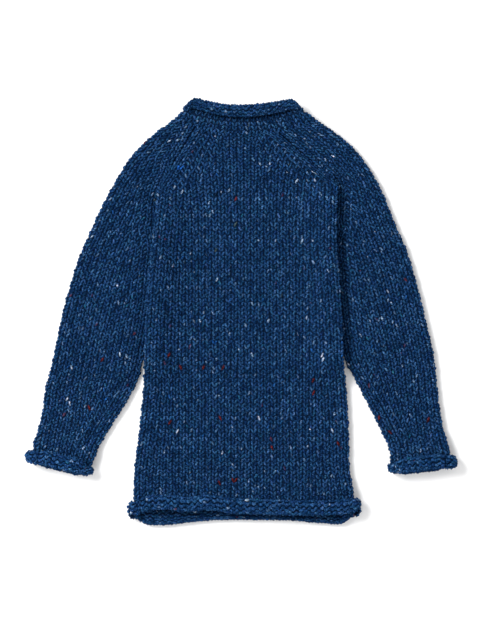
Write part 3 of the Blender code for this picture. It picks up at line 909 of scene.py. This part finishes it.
SLEEVE_BACK_CREASES = {
    -1: (
        Crease(-166, 128, -186, 66, 10, 1.3),
        Crease(-206, 10, -216, -52, 9, 1.1),
        Crease(-214, -96, -236, -118, 7, 1.0),
    ),
    1: (Crease(176, 122, 196, 52, 10, 1.3), Crease(216, 6, 208, -70, 12, 1.1)),
}


def sleeve_piece(side):
    """The left or the right sleeve, which runs from the back's seam round the outer fold to the front's."""
    left = side < 0
    raglan, arms = (LEFT_RAGLAN, LEFT_ARM) if left else (RIGHT_RAGLAN, RIGHT_ARM)
    outer = [(s.left_x, s.left_y) if left else (s.right_x, s.right_y) for s in SHOULDER_ROWS]
    outer = np.array(outer + [(a.outer_x, a.outer_y) for a in arms], float)
    inner = {}
    for front in (True, False):
        neck_y = float(neck_seam(raglan.neck_x, front))
        points = []
        for s in SHOULDER_ROWS:
            x = raglan.neck_x + s.share * (raglan.arm_x - raglan.neck_x) + side * RAGLAN_GAP
            points.append((x, neck_y + s.share * (raglan.arm_y - neck_y)))
        for a in arms:
            reach = TUCK_DEPTH * ramp(a.inner_y, TUCK_RAMP)
            points.append((a.inner_x + side * (UNDERARM_GAP - reach), a.inner_y))
        inner[front] = np.array(points, float)
    seams = np.array([*inner[True][:len(SHOULDER_ROWS)], *((a.inner_x, a.inner_y) for a in arms)])
    outer_steps, seam_steps = (np.hypot(*np.diff(line, axis=0).T) for line in (outer, seams))
    at = np.concatenate([[0.0], np.cumsum((outer_steps + seam_steps) / 2)])
    deep = at[-1]
    curls = np.array([0.0] * len(SHOULDER_ROWS) + [UNDERARM_CURL] + [1.0] * (len(arms) - 1))
    cuff = seams[-1] - outer[-1]
    facing = np.array((-side * cuff[1], side * cuff[0])) / np.hypot(*cuff)

    def curve_through(line, v):
        return [curve(at, line[:, k], v) for k in (0, 1)]

    def row(v, front):
        ox, oy = curve_through(outer, v)
        edges = zip(curve_through(inner[True], v), curve_through(inner[False], v))
        ix, iy = (np.where(front, *edge) for edge in edges)
        reach = UNDERARM_REACH * ramp(iy, UNDERARM_RAMP) - TUCK_DEPTH * ramp(iy, TUCK_RAMP)
        ix = ix - side * np.maximum(reach, 0)
        first_x, first_y = (np.where(front, *ends) for ends in zip(inner[True][0], inner[False][0]))
        top = np.clip(1 - v / at[1], 0, 1)

        def plan(across):
            neck_x = outer[0, 0] + across * (first_x - outer[0, 0])
            sinks = outer[0, 1] + across * (first_y - outer[0, 1]) - neck_seam(neck_x, front)
            return ox + across * (ix - ox), oy + across * (iy - oy) - sinks * top + np.maximum(-v, 0)

        curl = np.clip(curve(at, curls, v), 0, 1)
        ends = End(SIDE_FOLD, 1.0, 0.0, PUFF_FADES), End(SEAM_FOLD, curl, 0.0, PUFF_FADES)
        return plan, np.hypot(ix - ox, iy - oy), ends

    def layer_width(v, front):
        _, length, ends = row(v, front)
        return cloth_width(length, ends)

    def edges(v):
        return layer_width(v, True) + layer_width(v, False), layer_width(v, False)

    def point(across, v, out):
        flat_v = np.minimum(v, deep)
        fold = layer_width(flat_v, False)
        front = across > fold
        width_along = np.abs(across - fold)
        plan, length, ends = row(flat_v, front)
        width = cloth_width(length, ends)
        by_seam = width_along > width / 2
        nearest = np.minimum(width_along, width - width_along)

        radii = np.where(by_seam, SEAM_CURL_RADIUS, SIDE_CURL.radius), FRONT_CURL.radius
        out, forward = roll(v, deep, front, nearest, length, out, CUFF_SPREAD, radii)
        to_cuff = np.hypot(*(place - cuff for place, cuff in zip(curve_through(seams, flat_v), seams[-1])))
        cuff_lift = ROLL_LIFT * (1 - ease(to_cuff, 0.0, LIFT_LENGTH))
        mouth = CUFF_MOUTH * ease(flat_v, at[-2], deep)

        def lift(y):
            return neck_lift(y) + cuff_lift

        x, y, z, _ = on_cloth(plan, length, ends, width_along, front, out, lift, mouth)

        depth, flat, fades, rise, tucked_rise = VALLEYS[side]
        beside = side * (x - along(BODY_SIDES, "left" if left else "right", y, "y"))
        from_valley = np.maximum(beside - flat, 0) / fades + np.minimum(beside, 0) / UNDER_BODY
        valley = depth * np.exp(-(from_valley**2))
        rounder = rise * ramp(beside, RISE_RAMP) * ease(nearest, 0.0, RISE_FADES)
        tucked = tucked_rise * ease(-beside, *TUCKED_RISES) * ease(nearest, 0.0, TUCKED_FADES)

        away = ease(nearest, 0.0, SLEEVE_CREASES_FADE) * ease(deep - v, 0.0, SLEEVE_CREASES_END)
        seam = SEAM_DEPTH * (1 - ease(width - width_along, 0.0, SEAM_WIDTH)) * (1 - ends[1].curl)
        sink = crease_depth(SLEEVE_CREASES[side], x, y) * away + valley * ramp(y, VALLEY_RAMP) + seam
        sink = SINKS_MOST * np.tanh(sink / SINKS_MOST) - (rounder + tucked) * ramp(y, VALLEY_RAMP)
        z = z + np.where(front, -sink, crease_rise(SLEEVE_BACK_CREASES[side], x, y) * away)

        near_cuff = np.clip(1 - (deep - v) / DRAWN_LENGTH, 0, 1)
        drawn = np.where(front, CUFF_DRAWN, -CUFF_HANGS) * ease(nearest, *DRAWN_FADES)
        tilt = CUFF_TILT[side] * (2 * width_along / width - 1)
        forward = forward + (tilt - drawn) * near_cuff
        bump = CUFF_BUMP * side * np.exp(-(((v - deep + BUMP_ABOVE) / BUMP_LENGTH) ** 2))
        bump = bump * (1 - ease(width_along, 0.0, BUMP_REACH))
        wavy = edge_wave(v, nearest) * np.where(by_seam, -side, side)
        return np.stack([x + facing[0] * forward + wavy + bump, y + facing[1] * forward, z], -1)

    return Piece(
        edges, point, deep / COURSE,
        up=-1, wale=lambda v: SLEEVE_WALE, edge_wale=SLEEVE_EDGE_WALE, middle_folds=True,
    )


for name, side, seed in (("sleeve_left", -1, 21), ("sleeve_right", 1, 22)):
    sleeve = sleeve_piece(side)
    right_side = knit(sleeve, range(int(sleeve.flat_courses) + 2))
    wrong_side = knit(sleeve, curled_courses(sleeve, inside=2), CROWD)
    knitted_piece(
        name, sleeve, right_side, wrong_side,
        columns=54, seed=seed, flat_width=0.24, rests_on=["table_top"], marks=SLEEVE_MARKS[side],
    )


# The neckband is picked up round the neck and knitted in the round, its wales running on from the body's. Its
# edge curls outwards all round and shows the wrong side.

# How far it stands off its seam at the folds, and its rows from the seam up
FOLD_GAP, FOLD_GAP_FADES = 0.8, 14.0
Band = namedtuple("Band", "v left right side_y front_sinks back_sinks")
NECKBAND_ROWS = (
    Band(0.0, NECK_LEFT, NECK_RIGHT, NECK_SEAM_Y + RAGLAN_GAP, NECK_SINKS[True], NECK_SINKS[False]),
    Band(7.55, -77.0, 86.6, 245, 16.5, 12.0),
    Band(15.75, -73.3, 81.2, 252, 15.5, 13.5),
    Band(26.25, -67.2, 74.6, 262, 13.2, 14.6),
)
BAND_DEEP = NECKBAND_ROWS[-1].v
BAND_WALES, BAND_COURSES = 40, 6
EDGE_ROUNDNESS, EDGE_SKEW, EDGE_TILT = 1.0, 0.9, 2.6
NECK_MOUTH, NECK_OPENS = 2.2, (2.0, 15.0)

# Its first courses are drawn down to the seam where they are picked up
PICKED_UP, PICKED_UP_COURSES = 1.6, 3

# The curl's two ends turn down, and the curl is pressed a little flatter on the front, over a groove
END_DROP, END_ROUND, END_BEND, END_COURSES = 11.5, 16.0, 2.6, (8.0, 26.0)
NECK_RADII, NECK_CURL_SPREADS, NECK_SPREAD = (2.4, 5.7), 0.4, 1.2
NECK_PRESSED, NECK_PUFF_FADES = 0.76, 13.0
GROOVE, GROOVE_AT, GROOVE_WIDTH, GROOVE_FADES = 4.4, 20.6, 2.6, (3.0, 14.0)


def band_row(v, front):
    """The neckband's row v above its seam: its plan, length and ends."""
    left, right, side_y, front_sinks, back_sinks = (
        along(NECKBAND_ROWS, key, v, "v") for key in Band._fields[1:]
    )
    length = right - left
    up = v / BAND_DEEP
    roundness = NECK_ROUNDNESS + up * (EDGE_ROUNDNESS - NECK_ROUNDNESS)
    up = np.clip(up, 0, 1)
    skew = 1 + up * (EDGE_SKEW - 1)

    def plan(across):
        share = np.clip(across, 0, 1)
        from_end = np.minimum(share, 1 - share) * length
        clear = FOLD_GAP * (1 - ease(from_end, 0.0, FOLD_GAP_FADES))
        sinks = np.where(front, front_sinks, back_sinks) * np.sin(np.pi * share**skew) ** roundness
        drops = END_DROP * np.maximum(1 - from_end / END_ROUND, 0) ** END_BEND * ease(v, *END_COURSES)
        tilt = EDGE_TILT * share * up**2
        return left + across * length, side_y + clear - sinks - drops - tilt + np.minimum(v, 0)

    end = End(SIDE_FOLD, 1.0, 0.0, NECK_PUFF_FADES)
    return plan, length, (end, end)


def band_point(across, v, out):
    """A point of the neckband, with its curl after its last course."""
    flat_v = np.minimum(v, BAND_DEEP)
    _, length, ends = band_row(flat_v, True)
    width = cloth_width(length, ends)
    across = np.mod(across, 2 * width)
    front = across < width
    width_along = np.where(front, across, 2 * width - across)
    plan, length, ends = band_row(flat_v, front)
    nearest = np.minimum(width_along, width - width_along)
    near = NECK_CURL_SPREADS * nearest
    out, forward = roll(v, BAND_DEEP, front, near, length, out, NECK_SPREAD, NECK_RADII, NECK_PRESSED)
    mouth = NECK_MOUTH * ease(flat_v, *NECK_OPENS)
    x, y, z, _ = on_cloth(plan, length, ends, width_along, front, out, neck_lift, mouth)
    groove = GROOVE * front * np.exp(-(((v - GROOVE_AT) / GROOVE_WIDTH) ** 2))
    z = z - groove * ease(nearest, *GROOVE_FADES)
    return np.stack([x, y + forward, z], -1)


def band_edges(v):
    """How far round the band's cloth goes at v. It has no middle line."""
    _, length, ends = band_row(v, True)
    return 2 * cloth_width(length, ends), 0.0 * v


def band_stitches(courses, crowd=1):
    """The band's stitches, with more of them where the curled edge swells round the two folds."""
    places = []
    for k in range(BAND_WALES):
        at_fold = k % (BAND_WALES // 2) in (0, BAND_WALES // 2 - 1)
        places += split((k + 0.5) / BAND_WALES, 1 / BAND_WALES, crowd if at_fold else 1)
    rows = np.repeat(np.array(courses), len(places))
    v = (rows + 0.5) * COURSE - PICKED_UP * (rows < PICKED_UP_COURSES)
    share, part = np.tile(np.array(places), (len(courses), 1)).T
    round_the_band = band_edges(np.minimum(v, BAND_DEEP))[0]
    none = np.zeros(len(v))
    return Stitches(none, none > 0, none, share, v, round_the_band * part)


neckband = Piece(
    band_edges, band_point, BAND_DEEP / COURSE, up=1, wale=None, edge_wale=None, middle_folds=True
)
right_side = band_stitches(range(BAND_COURSES))
wrong_side = band_stitches(curled_courses(neckband, inside=3), CROWD)
knitted_piece(
    "neckband", neckband, right_side, wrong_side,
    columns=80, seed=31, flat_width=0.37, rests_on=["front_cloth"], closed=True, painted_light=1.0,
)


# The sweater lies on a plain white table, under a soft light from the upper left and a pale surround.

TABLE_SIZE, TABLE_HEIGHT, TABLE_WHITE = 12, -0.0006, 0.95
SURROUND = 0.79

bpy.ops.mesh.primitive_plane_add(size=TABLE_SIZE, location=(0, 0, TABLE_HEIGHT))
table = bpy.context.object
table.name = "table_top"
bpy.ops.object.transform_apply(location=True)
white, _, _ = principled("white_table", {"Base Color": (*[TABLE_WHITE] * 3, 1), "Roughness": 0.7})
table.data.materials.append(white)

Lamp = namedtuple("Lamp", "name place size watts")
LAMPS = (
    Lamp("key", (-1.8, 1.1, 2.3), 1.2, 97.0),
    Lamp("fill", (-1.2, -1.7, 2.2), 2.0, 15.0),
)
for lamp in LAMPS:
    bpy.ops.object.light_add(type="AREA", location=lamp.place)
    light = bpy.context.object
    light.name = lamp.name
    light.data.size, light.data.energy = lamp.size, lamp.watts
    direction = -np.array(lamp.place)
    light.rotation_euler = Vector(direction).to_track_quat("-Z", "Y").to_euler()

world = bpy.data.worlds.new("surround")
world.use_nodes = True
background = world.node_tree.nodes["Background"]
background.inputs["Color"].default_value = (1, 1, 1, 1)
background.inputs["Strength"].default_value = SURROUND
bpy.context.scene.world = world

# The camera looks straight down at this place, and takes in VIEW_TALL metres from top to bottom
VIEW_X, VIEW_Y, VIEW_TALL = -0.0006, -0.005, 0.78875
LENS, SENSOR = 100.0, 36.0
camera = bpy.data.cameras.new("camera")
camera.lens, camera.sensor_width = LENS, SENSOR
viewer = bpy.data.objects.new("camera", camera)
viewer.location = (VIEW_X, VIEW_Y, VIEW_TALL * LENS / SENSOR)
bpy.context.scene.collection.objects.link(viewer)
bpy.context.scene.camera = viewer
bpy.context.scene.view_settings.view_transform = "Standard"
